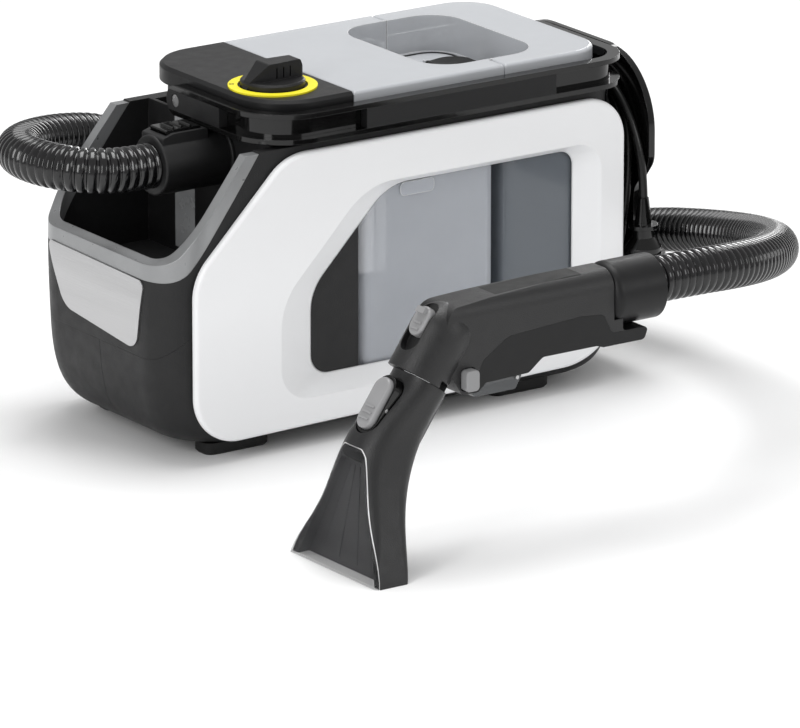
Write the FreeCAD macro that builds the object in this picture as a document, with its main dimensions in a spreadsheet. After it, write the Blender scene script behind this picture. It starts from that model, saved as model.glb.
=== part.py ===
import FreeCAD, Part
import math
import os

from FreeCAD import Placement, Rotation, Vector

# Spot extractor: a low carpet-cleaning machine with two lift-out tanks between white side frames,
# a suction hose, and a hand wand that stands on its own nozzle beside the machine.
# Millimetres. X runs from the front (hose well, -X) to the rear (cord store, +X), -Y is the side
# nearest the wand, +Z is up, and the origin is on the floor under the middle of the machine.

DIMENSIONS = {
    # housing
    "nose_x": -233, "rear_x": 205, "half_width": 98, "deck_z": 242, "hull_bottom": 10,
    "wall": 3, "corner": 42, "rim_z": 160, "trim_depth": 13, "trim_wall": 9, "well_floor": 126,
    "column_x": -128, "bay_front": -48, "bay_rear": 192, "bay_half": 90, "bay_floor": 46,
    "neck_top": 262, "seam_z": 83, "seam_rise": 108,
    # side frames
    "frame_face": 104, "frame_back": 98.4, "window_depth": 88, "frame_front": -210,
    "frame_rear": 197, "frame_top": 238, "frame_bottom": 15,
    # top
    "lid_base": 258, "lid_top": 276, "lid_half": 92.5, "lid_front": -55, "lid_seam": 88,
    "lid_rear": 188, "lid_wall": 2.5, "panel_front": -135, "recess_front": 37,
    "recess_rear": 140, "recess_half": 71, "recess_floor": 246,
    # tanks
    "tank_half": 86, "tank_wall": 2.5, "tank_base": 50, "dirty_front": -45, "dirty_rear": 84.5,
    "fresh_front": 92.5, "fresh_rear": 187,
    # dial
    "dial_x": -97, "dial_y": -42, "ring_outer": 35, "ring_inner": 27.5, "ring_height": 1.4,
    "knob_radius": 25.5, "knob_base": 6,
    # carry handle
    "handle_front": -146, "handle_rear": 206, "handle_near": -106, "handle_end": 34,
    "handle_bar": 10, "handle_low": 245, "handle_tall": 24, "channel_depth": 8, "flange": 4,
    "pivot_y": 22, "pivot_z": 257, "pivot_radius": 5,
    # motor
    "motor_radius": 40, "motor_length": 58, "shaft_radius": 4, "shaft_length": 20,
    # hose port, connector and hose
    "port_y": -10, "port_z": 219, "port_radius": 21, "hose_radius": 18, "connector_x": -190,
    # cord store
    "guard_x": 223, "guard_thick": 7, "coil_front": 208, "coil_back": 222, "coil_half": 83,
    "coil_low": 57, "coil_high": 250, "coil_band": 32, "cord_radius": 3.5,
    "plug_x": 219, "plug_y": -98.5,
    # wand
    "wand_y": -369, "grip_half": 20, "cuff_radius": 25, "cuff_z": 174,
    "mouth_x": -264, "mouth_half": 58,
}

doc = FreeCAD.newDocument("SpotExtractor")
sheet = doc.addObject("Spreadsheet::Sheet", "Dimensions")
for row, (name, value) in enumerate(DIMENSIONS.items(), 1):
    sheet.set(f"A{row}", name)
    sheet.set(f"B{row}", str(value))
    sheet.setAlias(f"B{row}", name)
doc.recompute()

NODES = []


def dim(name):
    """A driving dimension, read from the sheet."""
    return float(getattr(sheet, name))


def keep(item, label):
    """Names a finished sub-part and puts it on the list that is written."""
    item.Label = label
    NODES.append(item)
    return item


def solid_part(label, shape, placement=None):
    """A sub-part whose shape is worked out here, with its placement set after the shape."""
    item = doc.addObject("Part::Feature", label)
    item.Shape = shape
    item.Placement = placement or shape.Placement
    return keep(item, label)


# ---------------------------------------------------------------- outlines

def rounded_edges(corners):
    """Lines and tangent arcs round a closed outline of (u, v, radius) corners."""
    count = len(corners)
    cuts = []
    for i, (u, v, radius) in enumerate(corners):
        here = Vector(u, v, 0)
        before = (Vector(*corners[i - 1][:2], 0) - here).normalize()
        after = (Vector(*corners[(i + 1) % count][:2], 0) - here).normalize()
        half = before.getAngle(after) / 2
        reach = radius / math.tan(half)
        middle = here + (before + after).normalize() * (radius / math.sin(half) - radius)
        cuts.append((here + before * reach, middle, here + after * reach))
    edges = []
    for i, (start, middle, end) in enumerate(cuts):
        if start.distanceToPoint(end) > 1e-6:
            edges.append(Part.ArcOfCircle(start, middle, end))
        following = cuts[(i + 1) % count][0]
        if end.distanceToPoint(following) > 1e-6:
            edges.append(Part.LineSegment(end, following))
    return edges


def placed_wire(plane, corners, offset):
    """A closed rounded wire in the XY, XZ or YZ plane, at an offset along the third axis."""
    flat = Part.Wire([edge.toShape() for edge in rounded_edges(corners)])
    if plane == "XY":
        flat.Placement = Placement(Vector(0, 0, offset), Rotation())
    elif plane == "XZ":
        flat.Placement = Placement(Vector(0, offset, 0), Rotation(Vector(1, 0, 0), 90))
    else:
        flat.Placement = Placement(
            Vector(offset, 0, 0), Rotation(Vector(0, 1, 0), Vector(0, 0, 1), Vector(1, 0, 0), "ZXY")
        )
    return flat


def padded(label, plane, corners, length, holes=(), at=(0, 0, 0), turn=None):
    """A PartDesign body: an outline on one of its own planes, padded by a length from the sheet.

    The XZ plane pads towards -Y, the YZ plane towards +X and the XY plane towards +Z.
    """
    body = doc.addObject("PartDesign::Body", label)
    plane_object = next(f for f in body.Origin.OriginFeatures if f.Role == plane + "_Plane")
    sketch = body.newObject("Sketcher::SketchObject", label + "_outline")
    sketch.AttachmentSupport = (plane_object, "")
    sketch.MapMode = "FlatFace"
    for outline in [corners, *holes]:
        sketch.addGeometry(rounded_edges(outline), False)
    pad = body.newObject("PartDesign::Pad", label + "_pad")
    pad.Profile = sketch
    if isinstance(length, str):
        pad.setExpression("Length", length)
    else:
        pad.Length = length
    body.Placement = Placement(Vector(*at), turn or Rotation())
    doc.recompute()
    return body


def cylinder(label, at, radius, length):
    """An upright cylinder whose radius and length follow the sheet."""
    item = doc.addObject("Part::Cylinder", label)
    item.setExpression("Radius", f"Dimensions.{radius}")
    item.setExpression("Height", f"Dimensions.{length}")
    item.Placement = Placement(Vector(*at), Rotation())
    doc.recompute()
    return item


def block(low, high):
    """A plain box between two corners."""
    size = [b - a for a, b in zip(low, high)]
    return Part.makeBox(*size, Vector(*low))


def rod(start, axis, radius, length):
    """A cylinder from a point along an axis."""
    return Part.makeCylinder(radius, length, Vector(*start), Vector(*axis))


def prism(plane, corners, low, high):
    """An outline swept straight between two offsets along the plane's third axis."""
    face = Part.Face(placed_wire(plane, corners, low))
    along = {"XY": Vector(0, 0, 1), "XZ": Vector(0, 1, 0), "YZ": Vector(1, 0, 0)}[plane]
    return face.extrude(along * (high - low))


def rectangle(u0, u1, v0, v1, radius):
    """The corners of a rounded rectangle."""
    return [(u0, v0, radius), (u1, v0, radius), (u1, v1, radius), (u0, v1, radius)]


def tube_along(points, radius):
    """A round tube along straight runs joined by tangent arcs, each as large as its runs allow."""
    points = [Vector(*p) for p in points]
    edges, bends, at = [], [], points[0]
    for before, here, after in zip(points, points[1:], points[2:]):
        back, on = before - here, after - here
        shorter = min(back.Length, on.Length)
        back.normalize()
        on.normalize()
        half_turn = (math.pi - back.getAngle(on)) / 2
        bend = 0.45 * shorter / math.tan(half_turn)
        bends.append(bend)
        start, end = here + back * 0.45 * shorter, here + on * 0.45 * shorter
        inward = (back + on).normalize()
        middle = here + inward * (bend / math.cos(half_turn) - bend)
        edges.append(Part.LineSegment(at, start).toShape())
        edges.append(Part.Arc(start, middle, end).toShape())
        at = end
    edges.append(Part.LineSegment(at, points[-1]).toShape())
    path = Part.Wire(edges)
    section = Part.Wire(Part.makeCircle(radius, points[0], points[1] - points[0]))
    tube = path.makePipeShell([section], True, False)
    expected = math.pi * radius**2 * path.Length
    print(f"tube {path.Length:.0f} mm, tightest bend {min(bends):.0f} mm,"
          f" volume {tube.Volume / expected:.4f} of section times length")
    return tube, path.Length


# ---------------------------------------------------------------- housing

def hull(inset):
    """The machine's rounded body as a loft through level rounded rectangles."""
    nose, rear, half = dim("nose_x"), dim("rear_x"), dim("half_width")
    levels = [
        (dim("hull_bottom") + inset, 36, -17, -15),
        (28 + inset / 2, 12, -3, -4),
        (60, 3, 0, 0),
        (110, 0, 0, 0),
        (175, 1, 0, 0),
        (dim("deck_z"), 7, 0, -2),
    ]
    radius = dim("corner") - inset
    wires = []
    for z, front_in, rear_in, side_in in levels:
        width = half + side_in - inset
        wires.append(placed_wire("XY", rectangle(
            nose + front_in + inset, rear + rear_in - inset, -width, width, radius - 4), z))
    return Part.makeLoft(wires, True, False)


def rim_line(drop):
    """The side view of the space above the hose well's rim, lowered by a drop."""
    nose, rim, deck = dim("nose_x"), dim("rim_z") - drop, dim("deck_z")
    slope_foot, slope_head = nose + 10 + drop * 0.5, -155 + drop * 0.9
    return [(nose - 60, rim, 1), (slope_foot, rim, 26), (slope_head, deck + 3, 1),
            (slope_head, deck + 90, 1), (nose - 60, deck + 90, 1)]


def above_rim(drop):
    """Everything over the rim line, cut from the nose."""
    return prism("XZ", rim_line(drop), -160, 160)


def window(share, grow):
    """A corner list for the side window, from the face (0) to the inner opening (1)."""
    face = [(-131, 40, 26), (174, 40, 24), (174, 203, 24), (-50, 203, 60), (-131, 120, 55)]
    inner = [(-93, 52, 16), (156, 52, 12), (156, 195, 12), (-20, 195, 46), (-93, 120, 40)]
    outward = [(-1, -1), (1, -1), (1, 1), (-0.4, 1), (-1, 0.4)]
    return [
        (a[0] + (b[0] - a[0]) * share + o[0] * grow, a[1] + (b[1] - a[1]) * share + o[1] * grow,
         a[2] + (b[2] - a[2]) * share)
        for a, b, o in zip(face, inner, outward)
    ]


def frame_outline():
    """The side view of a side frame, with its slanting front shoulder."""
    front, rear = dim("frame_front"), dim("frame_rear")
    low, top = dim("frame_bottom"), dim("frame_top")
    return [(front, low, 40), (rear, low + 7, 58), (rear, top, 35), (-124, top, 46),
            (front, top - 86, 44)]


def window_recess(side):
    """The pocket in the body's side that the frame's window funnel sits in."""
    share = 0.375
    near, far = sorted([side * (dim("window_depth") - 0.4), side * 130])
    return prism("XZ", window(share, 4.6), near, far)


def seam_profile():
    """The side view of the two lower shells."""
    nose, seam, rise = dim("nose_x"), dim("seam_z"), dim("seam_rise")
    floor = dim("bay_floor") - 3
    return [(nose - 20, 0, 1), (dim("rear_x") + 20, 0, 1), (dim("rear_x") + 20, floor, 1),
            (-176, floor, 8), (-190, rise, 8), (-204, rise, 10), (nose + 2, seam, 8),
            (nose - 20, seam - 1, 1)]


def inner_space():
    """The room for the motor, pump and ducts inside the nose, the column and the base."""
    wall, half = dim("wall"), dim("bay_half") - 7
    front = hull(wall).common(block((-300, -90, 0), (-100, 90, dim("well_floor") - wall)))
    passage = block((-101, -half, 17), (-54, half, dim("deck_z") - 4))
    column = block((dim("column_x") + wall, -half, dim("well_floor") - wall - 1),
                   (dim("lid_front") - 3, half, dim("neck_top") - wall))
    base = block((-55, -half, 17), (dim("rear_x") - 8, half, dim("bay_floor") - 3))
    return front.fuse([passage, column, base])


def machine_outside():
    """The outer body: hull and neck, with the hose well's air cut away from the nose."""
    column, half = dim("column_x"), dim("bay_half") - 4
    body = hull(0)
    beyond = block((-300, -150, 0), (column, 150, 400))
    over_rim = above_rim(dim("trim_depth")).common(beyond)
    well = hull(dim("trim_wall")).common(block((-300, -150, dim("well_floor")), (column, 150, 300)))
    seam = dim("lid_front") - 0.6
    neck = prism("XY", [(column, -half, 36), (seam, -half, 0), (seam, half, 0),
                        (column, half, 36)], dim("deck_z") - 1, dim("neck_top"))
    return body.cut(over_rim).cut(well).fuse(neck)


def make_housings():
    """The main housing and the two lower shells, split along the seam and down the middle."""
    whole = machine_outside().cut(inner_space())
    bay = block((dim("bay_front"), -dim("bay_half"), dim("bay_floor")),
                (dim("bay_rear"), dim("bay_half"), 400))
    post = block((189, 23, dim("deck_z") - 1), (195.4, 43, 268))
    whole = whole.cut(bay).fuse(post)
    for side in (-1, 1):
        whole = whole.cut(window_recess(side))
    port = rod((-140, dim("port_y"), dim("port_z")), (1, 0, 0), dim("port_radius") - 2, 100)
    air = rod((-60, 45, 225), (1, 0, 0), 14.2, 20)
    pins = [rod((-150, dim("pivot_y"), dim("pivot_z")), (1, 0, 0), dim("pivot_radius"), 32),
            rod((180, dim("pivot_y"), dim("pivot_z")), (1, 0, 0), dim("pivot_radius"), 30)]
    dial_hole = rod((dim("dial_x"), dim("dial_y"), 250), (0, 0, 1), 9, 30)
    cord_hole = rod((190, 43.5, 169), (1, 0, 0), 4, 30)
    valve_hole = rod((140, 0, 30), (0, 0, 1), 6, 30)
    whole = whole.cut([port, air, dial_hole, cord_hole, valve_hole, *pins])
    below = prism("XZ", seam_profile(), -160, 160)
    lower = whole.common(below)
    upper = whole.cut(below)
    column_skin = front_column_shape()
    upper = upper.cut(column_skin)
    solid_part("main_housing", largest(upper))
    halves = {"lower_shell_near": (-160, -0.15), "lower_shell_far": (0.15, 160)}
    for label, (y0, y1) in halves.items():
        half = lower.common(block((-300, y0, 0), (300, y1, 200)))
        solid_part(label, largest(half))


def largest(shape):
    """The main solid of a cut, without crumbs."""
    return max(shape.Solids, key=lambda s: s.Volume)


def front_column_shape():
    """The satin facing on the column's far half, behind the hose port."""
    x, half = dim("column_x"), dim("bay_half") - 4
    outline = [(x - 0.5, 22, 1), (x + 2.6, 22, 1), (x + 2.6, 46, 1), (x + 38, half - 2.6, 1),
               (x + 38, half + 0.5, 1), (x + 36, half + 0.5, 1), (x - 0.5, half - 26, 30)]
    return prism("XY", outline, dim("well_floor") + 4, dim("neck_top") - 0.5)


def make_side_frames():
    """The white side frames: a plate with a shoulder and a window funnel that narrows inward."""
    face, back, depth = dim("frame_face"), dim("frame_back"), dim("window_depth")
    for label, side in (("side_frame_near", -1), ("side_frame_far", 1)):
        plate = prism("XZ", frame_outline(), min(side * face, side * back),
                      max(side * face, side * back))
        plate = plate.makeFillet(3.2, [
            e for e in plate.Edges
            if abs(e.BoundBox.YMin - side * face) < 0.01 and abs(e.BoundBox.YMax - side * face) < 0.01
        ])
        ring = prism("XZ", window(0.375, 3.8), min(side * depth, side * (back + 1)),
                     max(side * depth, side * (back + 1)))
        outer_wire = placed_wire("XZ", window(-0.02, 0), side * (face + 0.3))
        inner_wire = placed_wire("XZ", window(1.02, 0), side * (depth - 0.3))
        funnel = Part.makeLoft([outer_wire, inner_wire], True, True)
        solid_part(label, plate.fuse(ring).cut(funnel))


def make_trim():
    """The silver-grey lip that follows the rim of the hose well."""
    shell = hull(0).cut(hull(dim("trim_wall")))
    band = above_rim(dim("trim_depth")).cut(above_rim(0))
    front = block((-300, -150, 0), (dim("column_x") - 1, 150, dim("deck_z") - 1))
    lip = shell.common(band).common(front)
    solid_part("well_trim", largest(lip))


def make_panel():
    """The control panel over the neck, the dial's ring and the satin column facing."""
    half = dim("lid_half")
    seam = dim("lid_front") - 0.6
    outline = [(dim("panel_front"), -half, 45), (seam, -half, 0), (seam, half, 0),
               (dim("panel_front"), half, 45)]
    base, top = dim("neck_top") + 0.1, dim("lid_top")
    panel = prism("XY", outline, base, top)
    panel = panel.makeChamfer(2.6, [e for e in panel.Edges if e.BoundBox.ZMin > top - 0.01
                                    and e.BoundBox.XMin < seam - 0.01])
    x, y = dim("dial_x"), dim("dial_y")
    panel = panel.cut(rod((x, y, base - 1), (0, 0, 1), 9, 40))
    solid_part("control_panel", panel)
    ring = rod((x, y, top), (0, 0, 1), dim("ring_outer"), dim("ring_height"))
    ring = ring.cut(rod((x, y, top - 1), (0, 0, 1), dim("ring_inner"), 10))
    solid_part("dial_ring", ring)
    facing = front_column_shape().common(machine_outside())
    pin_room = rod((-150, dim("pivot_y"), dim("pivot_z")), (1, 0, 0), dim("pivot_radius"), 40)
    solid_part("front_column", largest(facing.cut(pin_room)))


def make_dial():
    """The turning knob, a disc with a tapered grip bar, and the shaft down to the switch."""
    x, y, top = dim("dial_x"), dim("dial_y"), dim("lid_top")
    disc = rod((0, 0, 0.4), (0, 0, 1), dim("knob_radius"), dim("knob_base"))
    disc = disc.makeChamfer(1.5, [e for e in disc.Edges if e.BoundBox.ZMin > dim("knob_base")])
    side = [(-27, 0.4, 0.5), (25, 0.4, 0.5), (25, 12, 4), (21, 20, 2), (-9, 20, 3), (-24, 7, 2)]
    bar = prism("XZ", side, -9, 9)
    plan = [(-27, -3, 2), (-8, -9.5, 3), (25, -7, 4), (25, 7, 4), (-8, 9.5, 3), (-27, 3, 2)]
    bar = bar.common(prism("XY", plan, 0, 30))
    knob = disc.fuse(bar)
    for step in (-1, 0, 1):
        slot = block((4 + step * 6.5, -12, 7.5), (5.2 + step * 6.5, -6.6, 16))
        knob = knob.cut(slot)
    stem = rod((0, 0, -15.6), (0, 0, 1), 5, 17)
    solid_part("dial_knob", knob.fuse(stem), Placement(Vector(x, y, top), Rotation()))
    switch = block((x - 14, y - 14, 243), (x + 14, y + 14, 258.4))
    solid_part("rotary_switch", switch.cut(rod((x, y, 256), (0, 0, 1), 6, 6)))


def make_badge():
    """The plain brushed plate on the nose, following its curve."""
    plate = hull(-1.2).cut(hull(0))
    outline = [(-54, 88, 13), (48, 99, 20), (72, 149, 5), (-67, 146.5, 6)]
    cutter = prism("YZ", outline, -300, -200)
    solid_part("badge_plate", largest(plate.common(cutter)))


def make_feet():
    """Four rubber pads under the lower shells."""
    pads = []
    for x0, x1 in ((-186, -126), (86, 142)):
        for side in (-1, 1):
            y0, y1 = sorted((side * 58, side * 82))
            pad = prism("XY", rectangle(x0, x1, y0, y1, 9), 0, dim("hull_bottom") - 0.1)
            pads.append(pad.makeChamfer(2, [e for e in pad.Edges if e.BoundBox.ZMax < 0.01]))
    solid_part("feet", Part.makeCompound(pads))


# ---------------------------------------------------------------- tanks and lids

def make_tank(label, x0, x1, lid_label, lid_x0, lid_x1, rear_radius):
    """An open tank and the lid over it, which carries its half of the hand recess."""
    half, wall, base = dim("tank_half"), dim("tank_wall"), dim("tank_base")
    top = dim("lid_base")
    outer = prism("XY", rectangle(x0, x1, -half, half, 10), base, top)
    inner = prism("XY", rectangle(x0 + wall, x1 - wall, -half + wall, half - wall, 10 - wall),
                  base + wall, top + 5)
    lid_half, lid_wall, lid_top = dim("lid_half"), dim("lid_wall"), dim("lid_top")
    plan = [(lid_x0, -lid_half, 1), (lid_x1, -lid_half, rear_radius),
            (lid_x1, lid_half, rear_radius), (lid_x0, lid_half, 1)]
    hollow = [(lid_x0 + lid_wall, -lid_half + lid_wall, 1),
              (lid_x1 - lid_wall, -lid_half + lid_wall, max(rear_radius - lid_wall, 1)),
              (lid_x1 - lid_wall, lid_half - lid_wall, max(rear_radius - lid_wall, 1)),
              (lid_x0 + lid_wall, lid_half - lid_wall, 1)]
    lid = prism("XY", plan, top + 0.1, lid_top)
    lid = lid.makeFillet(3, [e for e in lid.Edges if e.BoundBox.ZMin > lid_top - 0.01
                             and e.BoundBox.XLength > 8])
    lid = lid.cut(prism("XY", hollow, top, lid_top - lid_wall))
    x_near, x_far, reach = dim("recess_front"), dim("recess_rear"), dim("recess_half")
    floor = dim("recess_floor")
    tub_out = prism("XY", rectangle(x_near - lid_wall, x_far + lid_wall, -reach - lid_wall,
                                    reach + lid_wall, 31), floor - lid_wall, lid_top)
    tub_in = prism("XY", rectangle(x_near, x_far, -reach, reach, 29), floor, lid_top + 5)
    own = block((lid_x0, -100, 200), (lid_x1, 100, 300))
    end_wall_x = lid_x1 - lid_wall if lid_x0 < x_near else lid_x0
    end_wall = block((end_wall_x, -reach, floor - lid_wall), (end_wall_x + lid_wall, reach, floor + 3))
    lid = lid.fuse(tub_out.common(own)).cut(tub_in).fuse(end_wall)
    tank = outer.cut(inner).cut(tub_out)
    solid_part(label, tank)
    return solid_part(lid_label, lid.cut(tank))


def make_tanks():
    """The dirty-water tank in front, the fresh-water tank behind, and what they hold."""
    seam = dim("lid_seam")
    make_tank("dirty_tank", dim("dirty_front"), dim("dirty_rear"), "dirty_tank_lid",
              dim("lid_front"), seam - 0.3, 1)
    make_tank("fresh_tank", dim("fresh_front"), dim("fresh_rear"), "fresh_tank_lid",
              seam + 0.3, dim("lid_rear"), 32)
    inlet = rod((dim("dirty_front") + 3, dim("port_y"), dim("port_z")), (1, 0, 0), 18, 24)
    inlet = inlet.fuse(rod((-22, dim("port_y"), 150), (0, 0, 1), 16, 88))
    bore = rod((dim("dirty_front"), dim("port_y"), dim("port_z")), (1, 0, 0), 15.5, 24)
    bore = bore.fuse(rod((-22, dim("port_y"), 140), (0, 0, 1), 13.5, 94))
    solid_part("dirty_tank_inlet", inlet.cut(bore))
    cage = rod((20, 45, 172), (0, 0, 1), 19, 66).cut(rod((20, 45, 174), (0, 0, 1), 17, 62))
    slots = [block((20 - 30, 45 - 4, 182), (20 + 30, 45 + 4, 226)),
             block((20 - 4, 45 - 30, 182), (20 + 4, 45 + 30, 226))]
    solid_part("float_cage", cage.cut(slots[0]).cut(slots[1]))
    ball = doc.addObject("Part::Sphere", "float_ball")
    ball.Radius = 15
    ball.Placement = Placement(Vector(20, 45, 190), Rotation())
    keep(ball, "float_ball")
    tab = prism("XZ", rectangle(-8, 24, 183, 194, 4), -87.7, -86.1)
    solid_part("tank_catch", tab)
    stem = rod((140, 0, 42), (0, 0, 1), 5, 7.8).fuse(rod((140, 0, 48), (0, 0, 1), 9, 1.8))
    solid_part("fresh_tank_valve", stem)
    make_fill_cap()


def make_fill_cap():
    """The black flap on the recess floor that covers the fresh tank's filling hole."""
    floor = dim("recess_floor") + 0.4
    plan = [(93, -8, 3), (118, -14, 16), (132, -4, 12), (132, 24, 12), (118, 34, 16),
            (93, 28, 3)]
    flap = prism("XY", plan, floor, floor + 4)
    flap = flap.makeChamfer(1, [e for e in flap.Edges if e.BoundBox.ZMin > floor + 3.9])
    knuckle = rod((94, -2, floor + 4), (0, 1, 0), 2.6, 24)
    bore = rod((94, -20, floor + 4), (0, 1, 0), 1.3, 60)
    solid_part("fill_cap", flap.fuse(knuckle).cut(bore))
    pin = rod((94, -6, floor + 4), (0, 1, 0), 1.25, 32)
    ears = [block((91.8, y, floor - 0.4), (96.2, y + 3, floor + 6.4)) for y in (-6, 23)]
    slots = [block((90, -6.4, -1), (98, -2.6, 400)), block((90, 22.6, -1), (98, 26.4, 400))]
    solid_part("fill_cap_pin", pin.fuse(ears[0]).fuse(ears[1]))
    cap = next(item for item in NODES if item.Label == "fill_cap")
    cap.Shape = cap.Shape.cut(slots[0]).cut(slots[1])


# ---------------------------------------------------------------- carry handle

def handle_channel():
    """The bail as a plain band, and the outward groove that makes its section a channel."""
    front, rear, near, end = (dim("handle_" + n) for n in ("front", "rear", "near", "end"))
    bar, low, tall = dim("handle_bar"), dim("handle_low"), dim("handle_tall")
    groove, flange = dim("channel_depth"), dim("flange")
    outer = [(front, near, 48), (rear, near, 34), (rear, end + 40, 1), (front, end + 40, 1)]
    inner = [(front + bar, near + bar, 38), (rear - bar, near + bar, 24),
             (rear - bar, end + 60, 1), (front + bar, end + 60, 1)]
    core = [(front + groove, near + groove, 40), (rear - groove, near + groove, 26),
            (rear - groove, end + 60, 1), (front + groove, end + 60, 1)]
    side = [(near - 20, low, 1), (end, low, 11.9), (end, low + tall, 11.9),
            (near - 20, low + tall, 1)]
    trimmed = prism("YZ", side, front - 5, rear + 5)
    band = prism("XY", outer, low, low + tall).cut(prism("XY", inner, low - 1, low + tall + 1))
    channel = prism("XY", outer, low + flange, low + tall - flange)
    channel = channel.cut(prism("XY", core, low, low + tall))
    return band.common(trimmed), channel.common(trimmed)


def make_carry_handle():
    """The folding bail, its grip pad, the arm pads and the two pivot pins."""
    band, channel = handle_channel()
    front, rear, near = dim("handle_front"), dim("handle_rear"), dim("handle_near")
    y, z, radius = dim("pivot_y"), dim("pivot_z"), dim("pivot_radius")
    bores = [rod((front - 5, y, z), (1, 0, 0), radius + 0.06, 20),
             rod((rear - 15, y, z), (1, 0, 0), radius + 0.06, 20)]
    solid_part("carry_handle", largest(band.cut(channel).cut(bores[0]).cut(bores[1])))
    grip = channel.common(block((-52, near - 5, 200), (128, near + 20, 300)))
    solid_part("handle_grip_pad", largest(grip))
    caps = [rod((front - 5, y, z), (1, 0, 0), radius + 0.06, 20),
            rod((rear - 15, y, z), (1, 0, 0), radius + 0.06, 20)]
    pads = [channel.common(block((front - 5, -40, 200), (front + 20, 60, 300))),
            channel.common(block((rear - 20, -20, 200), (rear + 5, 60, 300)))]
    pads = [largest(pad.cut(cap)) for pad, cap in zip(pads, caps)]
    solid_part("handle_arm_pads", Part.makeCompound(pads))
    pins = [rod((front + 0.5, y, z), (1, 0, 0), radius, 27),
            rod((189.5, y, z), (1, 0, 0), radius, 16)]
    solid_part("handle_pivot_pins", Part.makeCompound(pins))


# ---------------------------------------------------------------- inside the machine

def make_insides():
    """Motor, fan, pump, ducts, board and internal hoses."""
    cx, cy = -150, 22
    keep(cylinder("suction_motor", (cx, cy, 17), "motor_radius", "motor_length"), "suction_motor")
    housing = rod((cx, cy, 76), (0, 0, 1), 52, 28).cut(rod((cx, cy, 79), (0, 0, 1), 49, 22))
    housing = housing.cut(rod((cx, cy, 70), (0, 0, 1), 5, 20)).cut(
        rod((cx, cy, 98), (0, 0, 1), 16, 20))
    solid_part("fan_housing", housing)
    wheel = rod((cx, cy, 82), (0, 0, 1), 45, 2.5).fuse(rod((cx, cy, 82), (0, 0, 1), 10, 14))
    for i in range(9):
        blade = block((9, -1, 84), (44, 1, 97))
        wheel = wheel.fuse(blade.rotate(Vector(), Vector(0, 0, 1), 40 * i).translate(
            Vector(cx, cy, 0)))
    wheel = wheel.cut(rod((cx, cy, 70), (0, 0, 1), 4, 40))
    solid_part("fan_wheel", wheel)
    keep(cylinder("motor_shaft", (cx, cy, 75.2), "shaft_radius", "shaft_length"), "motor_shaft")
    riser = block((-96, 30, 106), (-66, 60, 240)).fuse(block((-180, 4, 106), (-66, 60, 121)))
    hollow = block((-94, 32, 108), (-68, 58, 238)).fuse(block((-178, 6, 108), (-68, 58, 119)))
    mouth = rod((cx, cy, 100), (0, 0, 1), 15, 12)
    side_hole = rod((-80, 45, 225), (1, 0, 0), 12, 20)
    pipe = rod((-67, 45, 225), (1, 0, 0), 14, 20).cut(rod((-80, 45, 225), (1, 0, 0), 12, 40))
    solid_part("air_duct", riser.cut(hollow).cut(mouth).cut(side_hole).fuse(pipe))
    pump = block((-150, -76, 18), (-104, -38, 50)).fuse(rod((-104, -57, 34), (1, 0, 0), 15, 40))
    solid_part("spray_pump", pump)
    board = block((-60, -70, 135), (-58.4, 20, 200))
    parts = [block((-68, -60, 150), (-60, -40, 165)), block((-72, -20, 145), (-60, 0, 170)),
             block((-65, -66, 175), (-60, -30, 190))]
    solid_part("circuit_board", board.fuse(parts[0]).fuse(parts[1]).fuse(parts[2]))
    feed, _ = tube_along([(140, 0, 38), (140, 0, 26), (120, -20, 22), (60, -50, 22),
                          (0, -57, 25), (-40, -57, 34), (-63.8, -57, 34)], 3)
    solid_part("pump_feed_hose", feed)


def make_port():
    """The pipe that the hose plugs on, its collar on the column and the duct to the tank."""
    y, z, radius = dim("port_y"), dim("port_z"), dim("port_radius")
    x = dim("column_x")
    pipe = rod((x - 32, y, z), (1, 0, 0), radius, 32).fuse(rod((x - 1, y, z), (1, 0, 0),
                                                               radius - 2, 78))
    pipe = pipe.cut(rod((x - 40, y, z), (1, 0, 0), radius - 4.5, 140))
    collar = rod((x - 3, y, z), (1, 0, 0), 27, 3).cut(rod((x - 5, y, z), (1, 0, 0), radius - 1, 10))
    collar = collar.makeFillet(1.2, [e for e in collar.Edges if e.BoundBox.XMax < x - 2.9])
    solid_part("hose_port", pipe.fuse(collar))


def make_connector():
    """The hose's end piece, pushed on the port, and its ribbed latch."""
    y, z = dim("port_y"), dim("port_z")
    tip = dim("column_x") - 3.2
    end = dim("connector_x")
    radius = dim("port_radius")
    body = rod((end, y, z), (1, 0, 0), radius + 3, tip - end)
    body = body.makeFillet(2, [e for e in body.Edges if e.BoundBox.XMax < end + 0.01])
    body = body.cut(rod((dim("column_x") - 32, y, z), (1, 0, 0), radius + 0.1, 60))
    body = body.cut(rod((end - 1, y, z), (1, 0, 0), radius - 5, 60))
    arm_room = block((dim("handle_front") - 0.6, -50, dim("handle_low") - 3), (-120, 50, 300))
    body = body.cut(arm_room)
    shelf = prism("XZ", [(end + 2, z + 12, 1), (-146, z + 12, 1), (-146, z + 27, 2),
                         (end + 12, z + 27, 3), (end + 2, z + 24, 2)], y - 15, y + 15)
    pocket = block((end + 7, y - 11.5, z + 22.5), (-150, y + 11.5, z + 40))
    solid_part("hose_connector", largest(body.fuse(shelf).cut(pocket).cut(
        rod((end - 1, y, z), (1, 0, 0), radius + 0.1, 200))
        .fuse(rod((end, y, z), (1, 0, 0), radius + 0.1, 24).cut(
            rod((end - 1, y, z), (1, 0, 0), radius - 4, 60)))))
    latch = prism("XZ", rectangle(end + 7.4, -150.4, z + 25.9, z + 29, 1.2), y - 11, y + 11)
    for i in range(3):
        x = -158 - i * 8
        latch = latch.fuse(rod((x, y - 8, z + 29), (0, 1, 0), 1.1, 16))
    solid_part("connector_latch", latch)


# ---------------------------------------------------------------- cord store

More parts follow.
